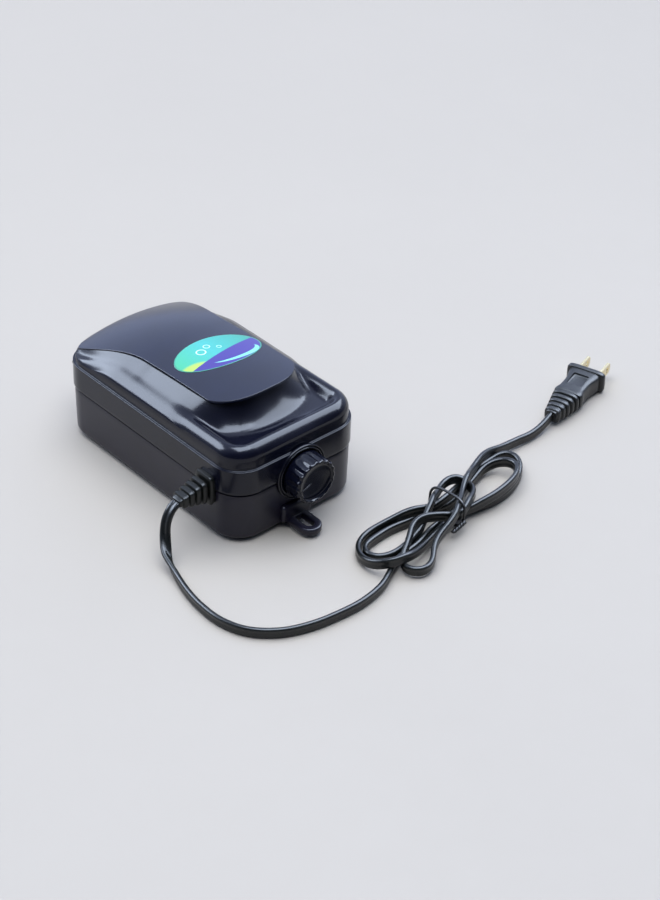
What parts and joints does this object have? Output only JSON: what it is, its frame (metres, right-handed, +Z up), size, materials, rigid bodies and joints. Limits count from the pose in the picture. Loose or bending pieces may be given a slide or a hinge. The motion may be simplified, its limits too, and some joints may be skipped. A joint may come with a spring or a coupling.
{
  "type": "aquarium air pump",
  "caption": "Dark moulded diaphragm air pump with an overhanging top panel, flow control knob, rear air outlets, hanging tab and a tied two-blade mains cord.",
  "frame": {"origin": "on the floor plane under the feet, at the middle of the case, tab and outlets taken together", "axes": "+Z up, -Y towards the knob and hanging tab, +Y towards the air outlets, -X towards the side the cord leaves"},
  "size_m": [0.3179, 0.2455, 0.0718],
  "materials": {
    "lower_case": "dark navy, fine satin gloss",
    "upper_case": "dark navy, polished",
    "panel": "dark navy, satin gloss",
    "label": "printed sticker under clear film",
    "knob_ring": "dark navy, polished",
    "knob": "dark navy, polished",
    "steel": "zinc plated",
    "pot_case": "pressed steel",
    "circuit_board": "green solder mask",
    "wire": "insulated",
    "lamination": "stacked silicon steel",
    "bobbin": "moulded nylon",
    "winding": "enamelled copper wire",
    "arm": "moulded",
    "magnet": "ferrite",
    "rubber": "soft",
    "chamber": "moulded",
    "hose": "soft, milky",
    "outlet": "moulded",
    "felt": "felt",
    "inlet_cap": "moulded",
    "feet": "soft, matt",
    "strain_relief": "moulded",
    "cord": "smooth flat twin cord, semi-gloss",
    "tie": "plastic covered wire",
    "plug": "moulded",
    "blade": "plated brass"
  },
  "bodies": {
    "case": {"base_housing": "lower_case", "upper_housing": "upper_case", "top_panel": "panel", "label": "label", "knob_ring": "knob_ring", "pot_body": "pot_case", "pot_nut": "steel", "circuit_board": "circuit_board", "lead_wires": "wire", "magnet_core": "lamination", "bobbin": "bobbin", "winding": "winding", "core_bracket": "steel", "bracket_screws": "steel", "arm_bracket": "steel", "diaphragm_left": "rubber", "diaphragm_right": "rubber", "chamber_left": "chamber", "chamber_right": "chamber", "flap_valves": "rubber", "air_hose_left": "hose", "air_hose_right": "hose", "air_outlet_left": "outlet", "air_outlet_right": "outlet", "inlet_felt": "felt", "inlet_cap": "inlet_cap", "rubber_feet": "feet", "case_screws": "steel", "strain_relief": "strain_relief", "cord_lead": "cord", "cord_hank": "cord", "cord_tie": "tie", "cord_tail": "cord", "plug_body": "plug", "plug_blades": "blade"},
    "control_knob": {"knob": "knob", "pot_shaft": "steel"},
    "swing_arm_left": {"arm_left": "arm", "magnet_left": "magnet"},
    "swing_arm_right": {"arm_right": "arm", "magnet_right": "magnet"}
  },
  "joints": [
    {"name": "knob_turn", "type": "hinge", "parent": "case", "child": "control_knob", "pos_m": [0, -0.0882, 0.0325], "axis": [0, 1, 0], "range_deg": [-45, 255]},
    {"name": "arm_left_swing", "type": "hinge", "parent": "case", "child": "swing_arm_left", "pos_m": [-0.0115, 0.042, 0.024], "axis": [0, 0, 1], "range_deg": [-2, 2], "stiffness_Nm_per_rad": 0.5, "deforming": ["diaphragm_left"]},
    {"name": "arm_right_swing", "type": "hinge", "parent": "case", "child": "swing_arm_right", "pos_m": [0.0115, 0.042, 0.024], "axis": [0, 0, 1], "range_deg": [-2, 2], "stiffness_Nm_per_rad": 0.5, "deforming": ["diaphragm_right"]}
  ],
  "couplings": [
    {"joint": "arm_right_swing", "follows": "arm_left_swing", "ratio": -1}
  ]
}
